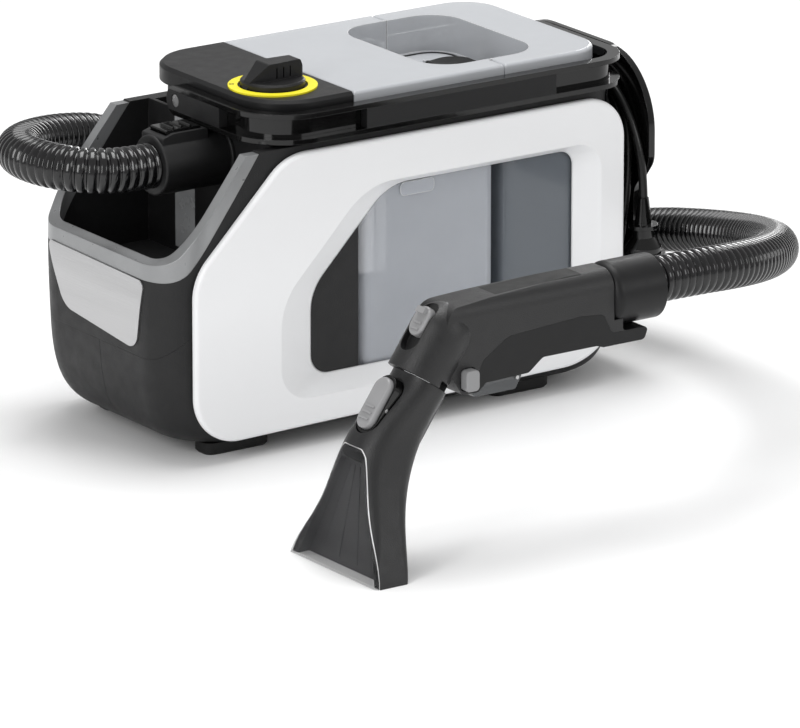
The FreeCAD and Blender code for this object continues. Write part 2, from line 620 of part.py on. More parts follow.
def coil_section(grow, radius):
    """The rear view of the wound cord's oval, outside or inside."""
    half, low, high = dim("coil_half") - grow, dim("coil_low") + grow, dim("coil_high") - grow
    return rectangle(-half, half, low, high, radius)


def make_cord_store():
    """The guard plate on its two winding posts, the wound cord, gland, free ends and plug."""
    x, thick = dim("guard_x"), dim("guard_thick")
    rear = dim("rear_x")
    outline = [(-100, 262, 62), (-100, 176, 18), (-80, 150, 14), (-78, 44, 26), (78, 44, 26),
               (80, 150, 14), (100, 176, 18), (100, 262, 62)]
    plate = prism("YZ", outline, x, x + thick)
    plate = plate.makeFillet(2.4, [e for e in plate.Edges if e.BoundBox.XMin > x + thick - 0.01])
    posts = [prism("YZ", rectangle(-34, 34, 196, 212, 7), rear - 0.2, x + 1),
             prism("YZ", rectangle(-34, 34, 106, 120, 6), rear - 0.2, x + 1)]
    rest = prism("XY", [(x - 20, -114, 14), (x + 14, -114, 14), (x + 14, -70, 6), (x - 14, -70, 6)],
                 99.8, 103.8)
    pins = [rod((dim("plug_x") + dx, dim("plug_y"), 90), (0, 0, 1), 3.4, 30) for dx in (-9.5, 9.5)]
    coil_room = prism("YZ", coil_section(-1, 61), dim("coil_front") - 1, dim("coil_back") + 1)
    rest = rest.cut(pins[0]).cut(pins[1]).cut(coil_room)
    guard = plate.fuse(posts[0]).fuse(posts[1]).fuse(rest).cut(machine_outside())
    solid_part("cord_guard", largest(guard))
    keep(padded("cord_coil", "YZ", coil_section(0, 60),
                "Dimensions.coil_back - Dimensions.coil_front",
                holes=[coil_section(dim("coil_band"), 30)], at=(dim("coil_front"), 0, 0)),
         "cord_coil")
    boss = block((rear + 0.2, -48.5, 162), (219, -38, 176))
    gland = boss.fuse(Part.makeCone(3.9, 5.4, 22.5, Vector(214.5, -43.5, 140), Vector(0, 0, 1)))
    solid_part("cord_gland", gland.cut(machine_outside()))
    radius = dim("cord_radius")
    lead, _ = tube_along([(214.5, -43.5, 139.9), (214.5, -42.5, 118), (214.5, -33, 100),
                          (214.5, -14, 93)], radius)
    solid_part("cord_lead", lead)
    px, py = dim("plug_x"), dim("plug_y")
    tail, _ = tube_along([(215.5, -67.8, 235.6), (216, -84, 215), (217.5, -93.5, 190),
                          (219, -96.5, 168), (px, py, 148.2)], radius)
    solid_part("power_cord", tail)
    relief = Part.makeCone(7, 4.4, 22, Vector(px, py, 126), Vector(0, 0, 1))
    plug = relief.fuse(rod((px, py, 123), (0, 0, 1), 12, 3.4)).fuse(
        rod((px, py, 114), (0, 0, 1), 9, 10)).fuse(
        Part.makeCone(15, 9, 8, Vector(px, py, 108), Vector(0, 0, 1))).fuse(
        rod((px, py, 104), (0, 0, 1), 15, 4.2))
    prongs = [rod((px + dx, py, 86), (0, 0, 1), 2.4, 18.5) for dx in (-9.5, 9.5)]
    solid_part("power_plug", plug.fuse(prongs))


# ---------------------------------------------------------------- hose

HOSE_ROUTE = [
    (-190, -10, 219), (-222, -10, 219), (-250, 8, 221), (-262, 46, 221), (-252, 88, 218),
    (-222, 118, 214), (-180, 135, 209), (-135, 143, 200), (-90, 147, 172), (-48, 150, 128),
    (-6, 153, 80), (42, 156, 42), (100, 158, 22), (158, 154, 19.5), (208, 138, 25),
    (246, 108, 42), (268, 66, 64), (278, 18, 82), (284, -34, 96), (286, -88, 107),
    (280, -142, 118), (264, -196, 130), (238, -248, 142), (204, -294, 153), (162, -332, 163),
    (114, -359, 172), (66, -369, 177), (16, -369, 177),
]


def make_hose():
    """The suction hose from the connector, round behind the machine, to the wand's cuff."""
    hose, length = tube_along(HOSE_ROUTE, dim("hose_radius"))
    print(f"hose {length:.0f} mm")
    solid_part("suction_hose", hose)


# ---------------------------------------------------------------- wand

TUBE_DOWN = Vector(-0.572, 0, -0.82).normalize()
TUBE_OUT = Vector(TUBE_DOWN.z, 0, -TUBE_DOWN.x)
TUBE_TURN = Rotation(TUBE_DOWN, Vector(0, -1, 0), TUBE_OUT, "XYZ")


def tube_origin():
    """The middle of the collar where the nozzle meets the handle."""
    return Vector(-186.6, dim("wand_y"), 139)


def on_tube(shape, along, out):
    """Turns a piece made flat so that X runs down the tube and Z stands off its front."""
    shape = shape.copy()
    shape.Placement = Placement(
        tube_origin() + TUBE_DOWN * along + TUBE_OUT * out, TUBE_TURN)
    return shape


def across(corners, low, high):
    """A side-view outline extruded across the wand, with Y measured from its middle plane."""
    return prism("XZ", corners, dim("wand_y") + low, dim("wand_y") + high)


def tube_sections():
    """Level sections of the nozzle and its tube: height, front x, rear x, half width, corner."""
    mouth = dim("mouth_x")
    return [
        (0, mouth, mouth + 30, dim("mouth_half"), 3),
        (24, mouth + 4.5, mouth + 38, 48, 8),
        (54, mouth + 10, mouth + 50, 34, 13),
        (90, mouth + 16, mouth + 71, 24, 19),
        (112, mouth + 31, mouth + 86, 22.5, 20),
        (158, mouth + 63, mouth + 118, 22.5, 20),
    ]


def nozzle_outer():
    """The nozzle's outside, lofted from the wide mouth up into the tube."""
    y = dim("wand_y")
    wires = [placed_wire("XY", rectangle(x0, x1, y - half, y + half, radius), z)
             for z, x0, x1, half, radius in tube_sections()]
    return Part.makeLoft(wires, True, False)


def above_collar(shift):
    """Everything over the plane that cuts the tube square at the collar."""
    return on_tube(Part.makeBox(200, 200, 200, Vector(-200, -100, -100)), shift, 0)


def wand_body():
    """The handle, its round elbow and the socket over the tube, as one outer form."""
    y, half = dim("wand_y"), dim("grip_half")
    side = [(-12, 149, 3), (-12, 197, 3), (-60, 196.5, 60), (-130, 194, 60), (-172, 191, 12),
            (-176, 150, 8), (-160, 124, 3), (-145, 124, 3), (-138, 130, 3), (-99, 131, 5),
            (-86, 141, 6), (-36, 141, 5), (-30, 139, 3), (8, 139, 4), (12, 149, 3)]
    rounding = [(y - half, 110, 6), (y + half, 110, 6), (y + half, 197.2, 15),
                (y - half, 197.2, 15)]
    handle = across(side, -half, half).common(prism("YZ", rounding, -200, 20))
    elbow = Part.makeSphere(24, tube_origin() - TUBE_DOWN * 36)
    socket = on_tube(rod((-36, 0, 0), (1, 0, 0), 24, 38), 0, 0)
    return handle.fuse([elbow, socket])


def below_parting():
    """Everything under the line where the grip panel meets the upper shell."""
    return across([(30, 100, 1), (30, 149, 1), (-22, 149, 4), (-30, 165, 6), (-52, 167, 6),
                   (-118, 163, 14), (-141, 148, 6), (-155, 118, 1), (-155, 100, 1)], -60, 60)


def trigger_outline(room):
    """The side view of the trigger, or of the space it needs."""
    return [(-142 - room * 0.4, 116 - room, 3), (-103, 116 - room, 3), (-97 + room * 0.2, 126, 3),
            (-99, 130 + room, 3), (-142 - room * 0.4, 128 + room, 4)]


def cuff_room():
    """The room that the cuff takes out of the handle's rear end."""
    return rod((-20.1, dim("wand_y"), dim("cuff_z")), (1, 0, 0), dim("cuff_radius") + 0.1, 60)


def button_room(gap):
    """The side button's bore through the near wall."""
    side = rectangle(-161 - gap, -148 + gap, 127 - gap, 144 + gap, 3.5)
    return prism("XZ", side, dim("wand_y") - 40, dim("wand_y") - 14 + gap)


def make_wand_shells():
    """The handle: an upper shell, the grip panel under it, the cuff and the soft inlay."""
    body, below = wand_body(), below_parting()
    y, radius = dim("wand_y"), dim("cuff_radius")
    cuff = rod((-20, y, dim("cuff_z")), (1, 0, 0), radius, 46)
    cuff = cuff.makeFillet(7, [e for e in cuff.Edges if e.BoundBox.XMax < -19.9])
    cuff = cuff.cut(rod((2, y, 177), (1, 0, 0), dim("hose_radius") + 1.4, 40))
    well = on_tube(prism("XY", rectangle(-21, 21, -9.5, 9.5, 9.4), -7.5, 20), -32, 24)
    inlay_zone = across([(-124, 192.4, 1), (-44, 194.4, 1), (-44, 220, 1), (-124, 220, 1)],
                        -11, 11)
    tube_room = nozzle_outer().cut(above_collar(-4))
    shell = body.cut([below, cuff_room(), inlay_zone, well, button_room(0.3), tube_room])
    solid_part("wand_upper_shell", largest(shell))
    solid_part("grip_inlay", largest(body.common(inlay_zone)))
    trigger_room = across(trigger_outline(3.2), -9, 9)
    lower = body.common(below).cut([cuff_room(), trigger_room, button_room(0.3)])
    solid_part("wand_grip_panel", largest(lower))
    solid_part("hose_cuff", cuff)


def make_nozzle():
    """The nozzle body with its channel, the clear front cover, spray line and spray jet."""
    outer = nozzle_outer().cut(above_collar(2.2))
    y, mouth, half = dim("wand_y"), dim("mouth_x"), dim("mouth_half")
    slot = across([(mouth - 5, -5, 1), (mouth + 13, -5, 1), (mouth + 24, 84, 4),
                   (mouth - 5, 84, 1)], -80, 80)
    taper = prism("YZ", [(y - half + 5, -5, 1), (y + half - 5, -5, 1), (y + 15, 84, 8),
                         (y - 15, 84, 8)], mouth - 20, mouth + 40)
    channel = slot.common(taper)
    cover_zone = across([(mouth - 8, -1, 0.5), (mouth + 3.2, -1, 0.5), (mouth + 19.5, 89, 1),
                         (mouth + 19.5, 95, 1), (mouth - 8, 95, 1)], -80, 80)
    latch_seat = on_tube(prism("XY", rectangle(-25, 25, -12.4, 12.4, 12.3), -10, 12), 34, 22.5)
    solid_part("nozzle_body", largest(outer.cut([cover_zone, channel, latch_seat])))
    solid_part("nozzle_cover", largest(outer.common(cover_zone)))
    line = on_tube(prism("XY", rectangle(0, 72, -5, 5, 2), -3.4, 3.4), 3, -25)
    line = largest(line.cut(nozzle_outer()))
    solid_part("spray_line", line)
    jet = on_tube(prism("XY", rectangle(0, 24, -8, 8, 2), -7, 7), 76, -27)
    solid_part("spray_jet", largest(jet.cut(nozzle_outer()).cut(line)))


def make_wand_controls():
    """The trigger, spray-lock slider, side button, nozzle latch, its skirt and pin."""
    y = dim("wand_y")
    trigger = across(trigger_outline(0), -8, 8).cut(rod((-101.5, y - 30, 125), (0, 1, 0), 1.56, 60))
    solid_part("spray_trigger", trigger)
    pad = prism("XY", rectangle(-12, 12, -8.6, 8.6, 8.5), 0, 7)
    pad = pad.makeFillet(2, [e for e in pad.Edges if e.BoundBox.ZMin > 6.9])
    ribs = [block((x, -5, 6), (x + 1.6, 5, 8)) for x in (1, 6)]
    hook = block((-10, -5, 5), (-5, 5, 10.5))
    solid_part("spray_slider", on_tube(pad.fuse([*ribs, hook]), -36, 17))
    side = rectangle(-160.6, -148.4, 127.4, 143.6, 3.4)
    button = prism("XZ", side, y - 27, y - 18)
    button = button.makeFillet(1.2, [e for e in button.Edges if e.BoundBox.YMax < y - 26.9])
    solid_part("spray_button", button)
    pivot = (2, 0, 6.4)
    skirt = prism("XY", rectangle(-24, 24, -12, 12, 11.9), 0, 9)
    skirt = skirt.cut(prism("XY", rectangle(-22, 22, -10, 10, 9.9), 3, 12))
    skirt = skirt.cut(rod((pivot[0], -20, pivot[2]), (0, 1, 0), 1.5, 40))
    solid_part("latch_skirt", on_tube(skirt, 34, 12.7))
    rocker = prism("XY", rectangle(-21.2, 21.2, -9.4, 9.4, 9.3), 5.2, 13.4)
    rocker = rocker.makeFillet(2.4, [e for e in rocker.Edges if e.BoundBox.ZMin > 13.3])
    under = prism("XZ", [(-30, 0, 0.2), (30, 0, 0.2), (30, 9.4, 0.2), (2, 5.4, 0.2),
                         (-30, 9.4, 0.2)], -20, 20)
    rocker = rocker.cut(under)
    grip_ribs = [block((x, -6, 12), (x + 1.4, 6, 14.4)) for x in (3, 8, 13)]
    barrel = rod((pivot[0], -9.4, pivot[2]), (0, 1, 0), 2.9, 18.8)
    rocker = rocker.fuse([*grip_ribs, barrel])
    rocker = rocker.cut(rod((pivot[0], -20, pivot[2]), (0, 1, 0), 1.56, 40))
    solid_part("nozzle_latch", on_tube(rocker, 34, 12.7))
    pins = [rod((-101.5, y - 8.9, 125), (0, 1, 0), 1.5, 17.8),
            on_tube(rod((pivot[0], -12, pivot[2]), (0, 1, 0), 1.5, 24), 34, 12.7)]
    solid_part("wand_pivot_pins", Part.makeCompound(pins))


def main():
    make_housings()
    make_side_frames()
    make_trim()
    make_panel()
    make_dial()
    make_badge()
    make_feet()
    make_tanks()
    make_carry_handle()
    make_insides()
    make_port()
    make_connector()
    make_cord_store()
    make_hose()
    make_wand_shells()
    make_nozzle()
    make_wand_controls()
    doc.recompute()
    for item in doc.Objects:
        if {"Invalid", "Error"} & set(item.State):
            raise RuntimeError(f"{item.Label} failed: {item.State}")
    for item in NODES:
        if item.Shape.isNull() or not item.Shape.isValid() or not item.Shape.Solids:
            raise RuntimeError(f"{item.Label} has no valid shape")
    os.makedirs("parts", exist_ok=True)
    for item in NODES:
        item.Shape.exportStep(f"parts/{item.Label}.step")
        print(f"{item.Label}: {item.Shape.Volume / 1000:.1f} cm3, {len(item.Shape.Solids)} solid")


main()
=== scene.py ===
import math

import bpy
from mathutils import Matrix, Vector


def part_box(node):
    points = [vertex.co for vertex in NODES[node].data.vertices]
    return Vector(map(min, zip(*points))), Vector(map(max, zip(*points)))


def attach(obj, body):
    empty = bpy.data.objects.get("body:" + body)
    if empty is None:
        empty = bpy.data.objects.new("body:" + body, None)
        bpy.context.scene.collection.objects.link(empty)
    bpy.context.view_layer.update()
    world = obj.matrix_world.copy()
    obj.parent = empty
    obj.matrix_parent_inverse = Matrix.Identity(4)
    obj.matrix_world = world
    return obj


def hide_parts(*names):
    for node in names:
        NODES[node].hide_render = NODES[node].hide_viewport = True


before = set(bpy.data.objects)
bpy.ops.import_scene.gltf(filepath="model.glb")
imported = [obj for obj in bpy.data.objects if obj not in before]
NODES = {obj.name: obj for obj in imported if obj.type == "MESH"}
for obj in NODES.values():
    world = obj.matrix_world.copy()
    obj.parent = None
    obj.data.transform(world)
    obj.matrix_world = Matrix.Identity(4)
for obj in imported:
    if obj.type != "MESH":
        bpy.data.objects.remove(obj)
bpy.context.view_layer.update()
MM = 0.001


# ---------------------------------------------------------------- camera, floor and light

SENSOR_WIDTH = 36
LENS = 396.3
VIEWED_POINT = Vector((0.0388, -0.0191, 0.0208))
VIEW_DIRECTION = Vector((-0.5430, -0.7872, 0.2924))
CAMERA_DISTANCE = 7.0
FLOOR_HALF = 12.0
FLOOR_COLOUR = (0.93, 0.93, 0.93, 1)
SKY_STRENGTH = 0.5
SOFTBOXES = [  # name, position, point it faces, width and height, watts
    ("top_box", (0.2, 0.3, 2.4), (0, -0.05, 0.1), (1.5, 1.5), 40),
    ("left_box", (-2.2, -0.9, 1.1), (-0.1, 0, 0.15), (0.7, 1.4), 20),
    ("front_box", (0.9, -2.6, 1.3), (0, -0.1, 0.1), (1.4, 0.9), 13),
    ("rear_box", (1.9, 1.5, 1.0), (0.1, 0, 0.2), (0.5, 1.4), 12),
]


def add_camera():
    """A long lens at the photograph's angle, looking down at the machine and the wand."""
    data = bpy.data.cameras.new("camera")
    data.sensor_width = SENSOR_WIDTH
    data.lens = LENS
    data.clip_end = 60
    camera = bpy.data.objects.new("camera", data)
    bpy.context.scene.collection.objects.link(camera)
    towards = VIEW_DIRECTION.normalized()
    camera.location = VIEWED_POINT + towards * CAMERA_DISTANCE
    camera.rotation_euler = (-towards).to_track_quat("-Z", "Y").to_euler()
    bpy.context.scene.camera = camera


def add_light(name, position, aim, size, watts):
    """A softbox at a position, facing a point."""
    data = bpy.data.lights.new(name, "AREA")
    data.shape = "RECTANGLE"
    data.size, data.size_y = size
    data.energy = watts
    light = bpy.data.objects.new(name, data)
    bpy.context.scene.collection.objects.link(light)
    light.location = position
    light.rotation_euler = (Vector(aim) - Vector(position)).to_track_quat("-Z", "Y").to_euler()


def add_studio():
    """A pale floor, an even sky and four softboxes."""
    mesh = bpy.data.meshes.new("floor")
    corners = ((-1, -1), (1, -1), (1, 1), (-1, 1))
    mesh.from_pydata([(x * FLOOR_HALF, y * FLOOR_HALF, 0) for x, y in corners], [],
                     [(0, 1, 2, 3)])
    floor = bpy.data.objects.new("floor", mesh)
    bpy.context.scene.collection.objects.link(floor)
    paper = bpy.data.materials.new("paper")
    paper.use_nodes = True
    shader = paper.node_tree.nodes["Principled BSDF"]
    shader.inputs["Base Color"].default_value = FLOOR_COLOUR
    shader.inputs["Roughness"].default_value = 0.9
    shader.inputs["Specular IOR Level"].default_value = 0.1
    mesh.materials.append(paper)
    world = bpy.data.worlds.new("studio")
    world.use_nodes = True
    sky = world.node_tree.nodes["Background"]
    sky.inputs["Color"].default_value = (1, 1, 1, 1)
    sky.inputs["Strength"].default_value = SKY_STRENGTH
    bpy.context.scene.world = world
    bpy.context.scene.view_settings.view_transform = "Standard"
    for box in SOFTBOXES:
        add_light(*box)


add_camera()
add_studio()


# ---------------------------------------------------------------- materials

BROAD_SCALE, BROAD_DETAIL = 24.0, 3.0
PATCH_SCALE, PATCH_DETAIL = 90.0, 4.0
GRAIN_DETAIL = 2.0
GRAIN_DEPTH = 0.0004
NOISE_LOW, NOISE_HIGH = 0.3, 0.7
COAT_ROUGHNESS = 0.06
FACING_BLEND = 0.3
EDGE_STARTS, EDGE_FULL = 0.99, 0.86


def link(tree, source, output, target, socket):
    """Joins a node's output to another node's input, each by name or number."""
    tree.links.new(source.outputs[output], target.inputs[socket])


def add_noise(tree, where, scale, detail):
    """A noise over the places that a mapping node gives."""
    noise = tree.nodes.new("ShaderNodeTexNoise")
    noise.inputs["Scale"].default_value = scale
    noise.inputs["Detail"].default_value = detail
    link(tree, where, 0, noise, "Vector")
    return noise


def spread(tree, source, low, high):
    """Maps a noise onto a range of values."""
    ranged = tree.nodes.new("ShaderNodeMapRange")
    ranged.inputs["From Min"].default_value = NOISE_LOW
    ranged.inputs["From Max"].default_value = NOISE_HIGH
    ranged.inputs["To Min"].default_value = low
    ranged.inputs["To Max"].default_value = high
    link(tree, source, 0, ranged, "Value")
    return ranged


def soft_normal(tree, reach, samples):
    """The surface's normal with its edges rounded over a reach in millimetres."""
    rounded = tree.nodes.new("ShaderNodeBevel")
    rounded.samples = samples
    rounded.inputs["Radius"].default_value = reach * MM
    return rounded


def edge_mask(tree, reach):
    """One along a piece's edges, within a reach in millimetres, and none on its faces."""
    surface = tree.nodes.new("ShaderNodeNewGeometry")
    turn = tree.nodes.new("ShaderNodeVectorMath")
    turn.operation = "DOT_PRODUCT"
    link(tree, soft_normal(tree, reach, 8), "Normal", turn, 0)
    link(tree, surface, "Normal", turn, 1)
    mask = tree.nodes.new("ShaderNodeMapRange")
    mask.inputs["From Min"].default_value = EDGE_STARTS
    mask.inputs["From Max"].default_value = EDGE_FULL
    link(tree, turn, "Value", mask, "Value")
    return mask


def add_opacity(tree, shader, see_through):
    """Makes a surface clear face on and denser at a grazing angle."""
    facing = tree.nodes.new("ShaderNodeLayerWeight")
    facing.inputs["Blend"].default_value = FACING_BLEND
    opacity = tree.nodes.new("ShaderNodeMapRange")
    opacity.inputs["To Min"].default_value = see_through[0]
    opacity.inputs["To Max"].default_value = see_through[1]
    link(tree, facing, "Facing", opacity, "Value")
    link(tree, opacity, 0, shader, "Alpha")
    return opacity


def add_painted_edge_highlight(tree, shader, base, opacity, reach, highlight_brightness):
    """Paints a highlight into a clear piece's colour along its edges, where moulded edges catch
    the light, and makes them solid.
    """
    mask = edge_mask(tree, reach)
    light = tree.nodes.new("ShaderNodeMix")
    light.data_type = "RGBA"
    link(tree, mask, 0, light, "Factor")
    plain, painted_highlight = [socket for socket in light.inputs if socket.type == "RGBA"]
    painted_highlight.default_value = [highlight_brightness] * 3 + [1]
    tree.links.new(base.outputs[0], plain)
    mixed = [socket for socket in light.outputs if socket.type == "RGBA"][0]
    tree.links.new(mixed, shader.inputs["Base Color"])
    solid = tree.nodes.new("ShaderNodeMath")
    solid.operation = "MAXIMUM"
    link(tree, opacity, 0, solid, 0)
    link(tree, mask, 0, solid, 1)
    link(tree, solid, 0, shader, "Alpha")


def finish_of(name, colour, rough, metallic=0.0, grain=0.0, grain_scale=1500.0, edge=0.5,
              mottle=0.06, wear=0.05, coat=0.0, sheen=0.5, stretch=(1, 1, 1),
              see_through=None, painted_edge_highlight=None):
    """A painted, moulded, rolled or clear surface with grain, soft edges and uneven gloss.

    see_through is the opacity face on and the opacity at a grazing angle, and the last argument
    gives the reach in millimetres and the brightness of a highlight painted along a clear
    piece's edges.
    """
    material = bpy.data.materials.new(name)
    material.use_nodes = True
    tree = material.node_tree
    shader = tree.nodes["Principled BSDF"]
    shader.inputs["Metallic"].default_value = metallic
    shader.inputs["Specular IOR Level"].default_value = sheen
    shader.inputs["Coat Weight"].default_value = coat
    shader.inputs["Coat Roughness"].default_value = COAT_ROUGHNESS
    place = tree.nodes.new("ShaderNodeTexCoord")
    mapping = tree.nodes.new("ShaderNodeMapping")
    mapping.inputs["Scale"].default_value = stretch
    link(tree, place, "Object", mapping, "Vector")
    broad = add_noise(tree, mapping, BROAD_SCALE, BROAD_DETAIL)
    ramp = tree.nodes.new("ShaderNodeValToRGB")
    darker, lighter = ramp.color_ramp.elements
    darker.position, lighter.position = NOISE_LOW, NOISE_HIGH
    darker.color = [c * (1 - mottle) for c in colour] + [1]
    lighter.color = [min(1, c * (1 + mottle)) for c in colour] + [1]
    link(tree, broad, 0, ramp, "Fac")
    link(tree, ramp, 0, shader, "Base Color")
    patch = add_noise(tree, mapping, PATCH_SCALE, PATCH_DETAIL)
    gloss = spread(tree, patch, max(0.02, rough - wear), min(1.0, rough + wear))
    link(tree, gloss, 0, shader, "Roughness")
    normal = soft_normal(tree, edge, 4)
    if grain:
        fine = add_noise(tree, mapping, grain_scale, GRAIN_DETAIL)
        bump = tree.nodes.new("ShaderNodeBump")
        bump.inputs["Strength"].default_value = grain
        bump.inputs["Distance"].default_value = GRAIN_DEPTH
        link(tree, fine, 0, bump, "Height")
        link(tree, normal, 0, bump, "Normal")
        normal = bump
    link(tree, normal, 0, shader, "Normal")
    if see_through:
        opacity = add_opacity(tree, shader, see_through)
        # a highlight painted into the colour along a clear piece's edges
        if painted_edge_highlight:
            add_painted_edge_highlight(tree, shader, ramp, opacity, *painted_edge_highlight)
    return material


FINISH = {
    "body_black": finish_of("body_black", (0.0085, 0.0085, 0.009), 0.5, grain=0.5, edge=0.9,
                            sheen=0.36),
    "soft_black": finish_of("soft_black", (0.008, 0.008, 0.0085), 0.42, grain=0.2, edge=0.8,
                            sheen=0.3),
    "wand_black": finish_of("wand_black", (0.009, 0.009, 0.0095), 0.42, grain=0.7,
                            grain_scale=1100, edge=0.9, sheen=0.5),
    "gloss_black": finish_of("gloss_black", (0.003, 0.003, 0.003), 0.1, wear=0.03, edge=0.7,
                             coat=0.3, sheen=0.3),
    "frame_white": finish_of("frame_white", (0.86, 0.865, 0.875), 0.3, mottle=0.004, wear=0.02,
                             edge=1.6),
    "trim_silver": finish_of("trim_silver", (0.3, 0.305, 0.31), 0.32, metallic=0.55,
                             grain=0.08, edge=1.0),
    "badge_steel": finish_of("badge_steel", (0.5, 0.5, 0.505), 0.34, metallic=1.0, grain=0.35,
                             grain_scale=900, stretch=(1, 0.04, 1), edge=0.4),
    "column_grey": finish_of("column_grey", (0.5, 0.51, 0.52), 0.26, metallic=0.35, wear=0.03,
                             grain=0.05, edge=0.8),
    "dial_yellow": finish_of("dial_yellow", (0.84, 0.73, 0.01), 0.5, mottle=0.02, edge=0.3),
    # The clear tank, lid and cover finishes carry a highlight painted into their colour along
    # the edges.
    "tank_clear": finish_of("tank_clear", (0.56, 0.585, 0.63), 0.1, mottle=0.02, wear=0.03,
                            edge=0.5, see_through=(0.42, 0.95), painted_edge_highlight=(0.9, 0.8)),
    "rear_tank": finish_of("rear_tank", (0.19, 0.21, 0.235), 0.1, mottle=0.02, wear=0.03,
                           edge=0.5, see_through=(0.5, 0.95)),
    "lid_clear": finish_of("lid_clear", (0.54, 0.555, 0.58), 0.2, mottle=0.01, wear=0.02,
                           edge=0.8, see_through=(0.72, 0.97), painted_edge_highlight=(0.9, 0.85)),
    "cover_clear": finish_of("cover_clear", (0.06, 0.06, 0.065), 0.05, mottle=0.02, wear=0.02,
                             edge=0.5, see_through=(0.03, 0.5), painted_edge_highlight=(1.6, 0.85)),
    "control_grey": finish_of("control_grey", (0.27, 0.27, 0.275), 0.38, grain=0.1, edge=0.5),
    "trigger_clear": finish_of("trigger_clear", (0.1, 0.105, 0.11), 0.2, wear=0.03, edge=0.5,
                               see_through=(0.75, 0.98)),
    "rubber_black": finish_of("rubber_black", (0.009, 0.009, 0.009), 0.6, grain=0.25, edge=0.6,
                              sheen=0.3),
    "cord_black": finish_of("cord_black", (0.007, 0.007, 0.007), 0.3, grain=0.06, edge=0.2,
                            sheen=0.4),
    "hose_black": finish_of("hose_black", (0.004, 0.004, 0.0045), 0.17, wear=0.05, grain=0.05,
                            edge=0.2, coat=0.2, sheen=0.5),
    "steel": finish_of("steel", (0.5, 0.5, 0.5), 0.3, metallic=1.0, grain=0.1, edge=0.3),
    "inner_grey": finish_of("inner_grey", (0.12, 0.12, 0.125), 0.5, grain=0.2, edge=0.5),
    "motor_metal": finish_of("motor_metal", (0.28, 0.29, 0.3), 0.4, metallic=0.9, grain=0.2,
                             edge=0.5),
    "board_green": finish_of("board_green", (0.02, 0.13, 0.06), 0.35, mottle=0.2, grain=0.2,
                             edge=0.3),
    "float_white": finish_of("float_white", (0.7, 0.7, 0.69), 0.4, mottle=0.02, grain=0.1,
                             edge=0.3),
    "mark_black": finish_of("mark_black", (0.012, 0.012, 0.012), 0.55, grain=0.05, edge=0.05),
}

FINISH_OF_NODE = {
    "body_black": ["main_housing", "lower_shell_near", "lower_shell_far", "hose_port",
                   "handle_arm_pads", "hose_connector"],
    "soft_black": ["control_panel", "dial_knob", "handle_grip_pad", "hose_cuff",
                   "wand_grip_panel"],
    "wand_black": ["wand_upper_shell", "nozzle_body"],
    "gloss_black": ["carry_handle", "cord_guard", "connector_latch", "power_plug",
                    "latch_skirt", "spray_jet"],
    "frame_white": ["side_frame_near", "side_frame_far"],
    "trim_silver": ["well_trim"],
    "badge_steel": ["badge_plate"],
    "column_grey": ["front_column"],
    "dial_yellow": ["dial_ring"],
    "tank_clear": ["dirty_tank", "dirty_tank_inlet", "tank_catch"],
    "rear_tank": ["fresh_tank"],
    "lid_clear": ["dirty_tank_lid", "fresh_tank_lid", "fill_cap_pin"],
    "cover_clear": ["nozzle_cover"],
    "control_grey": ["spray_slider", "spray_button", "nozzle_latch"],
    "trigger_clear": ["spray_trigger"],
    "rubber_black": ["feet", "grip_inlay", "fill_cap", "cord_gland", "pump_feed_hose"],
    "steel": ["handle_pivot_pins", "motor_shaft", "wand_pivot_pins"],
    "inner_grey": ["rotary_switch", "float_cage", "fresh_tank_valve", "fan_housing",
                   "fan_wheel", "air_duct", "spray_line"],
    "motor_metal": ["suction_motor", "spray_pump"],
    "board_green": ["circuit_board"],
    "float_white": ["float_ball"],
}


def dress(item, finish):
    """Gives a piece one finish all over."""
    item.data.materials.clear()
    item.data.materials.append(FINISH[finish])


for finish_name, node_names in FINISH_OF_NODE.items():
    for node_name in node_names:
        dress(NODES[node_name], finish_name)


# ---------------------------------------------------------------- small builders

def add_piece(name, points, faces, finish, body, smooth=True):
    """A mesh piece that rides on a body."""
    mesh = bpy.data.meshes.new(name)
    mesh.from_pydata(points, [], faces)
    mesh.update()
    for face in mesh.polygons:
        face.use_smooth = smooth
    item = bpy.data.objects.new(name, mesh)
    bpy.context.scene.collection.objects.link(item)
    dress(item, finish)
    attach(item, body)
    return item


BOX_FACES = [(0, 1, 3, 2), (4, 6, 7, 5), (0, 4, 5, 1), (2, 3, 7, 6), (0, 2, 6, 4), (1, 5, 7, 3)]


def box_mesh(low, high):
    """The points and faces of a box, in millimetres, turned into metres."""
    points = [(x * MM, y * MM, z * MM)
              for x in (low[0], high[0]) for y in (low[1], high[1]) for z in (low[2], high[2])]
    return points, BOX_FACES


def merged(parts):
    """Several point and face lists as one."""
    points, faces = [], []
    for more_points, more_faces in parts:
        start = len(points)
        points += more_points
        faces += [tuple(i + start for i in face) for face in more_faces]
    return points, faces


def ring_mesh(centre, outer, inner, low, high, steps=32):
    """A flat ring standing on a level plane, in millimetres, turned into metres."""
    points, faces = [], []
    for i in range(steps):
        turn = 2 * math.pi * i / steps
        for radius, z in ((outer, low), (outer, high), (inner, high), (inner, low)):
            points.append(((centre[0] + radius * math.cos(turn)) * MM,
                           (centre[1] + radius * math.sin(turn)) * MM, z * MM))
    for i in range(steps):
        a, b = 4 * i, 4 * ((i + 1) % steps)
        faces += [(a + k, b + k, b + (k + 1) % 4, a + (k + 1) % 4) for k in range(4)]
    return points, faces


# ---------------------------------------------------------------- hose

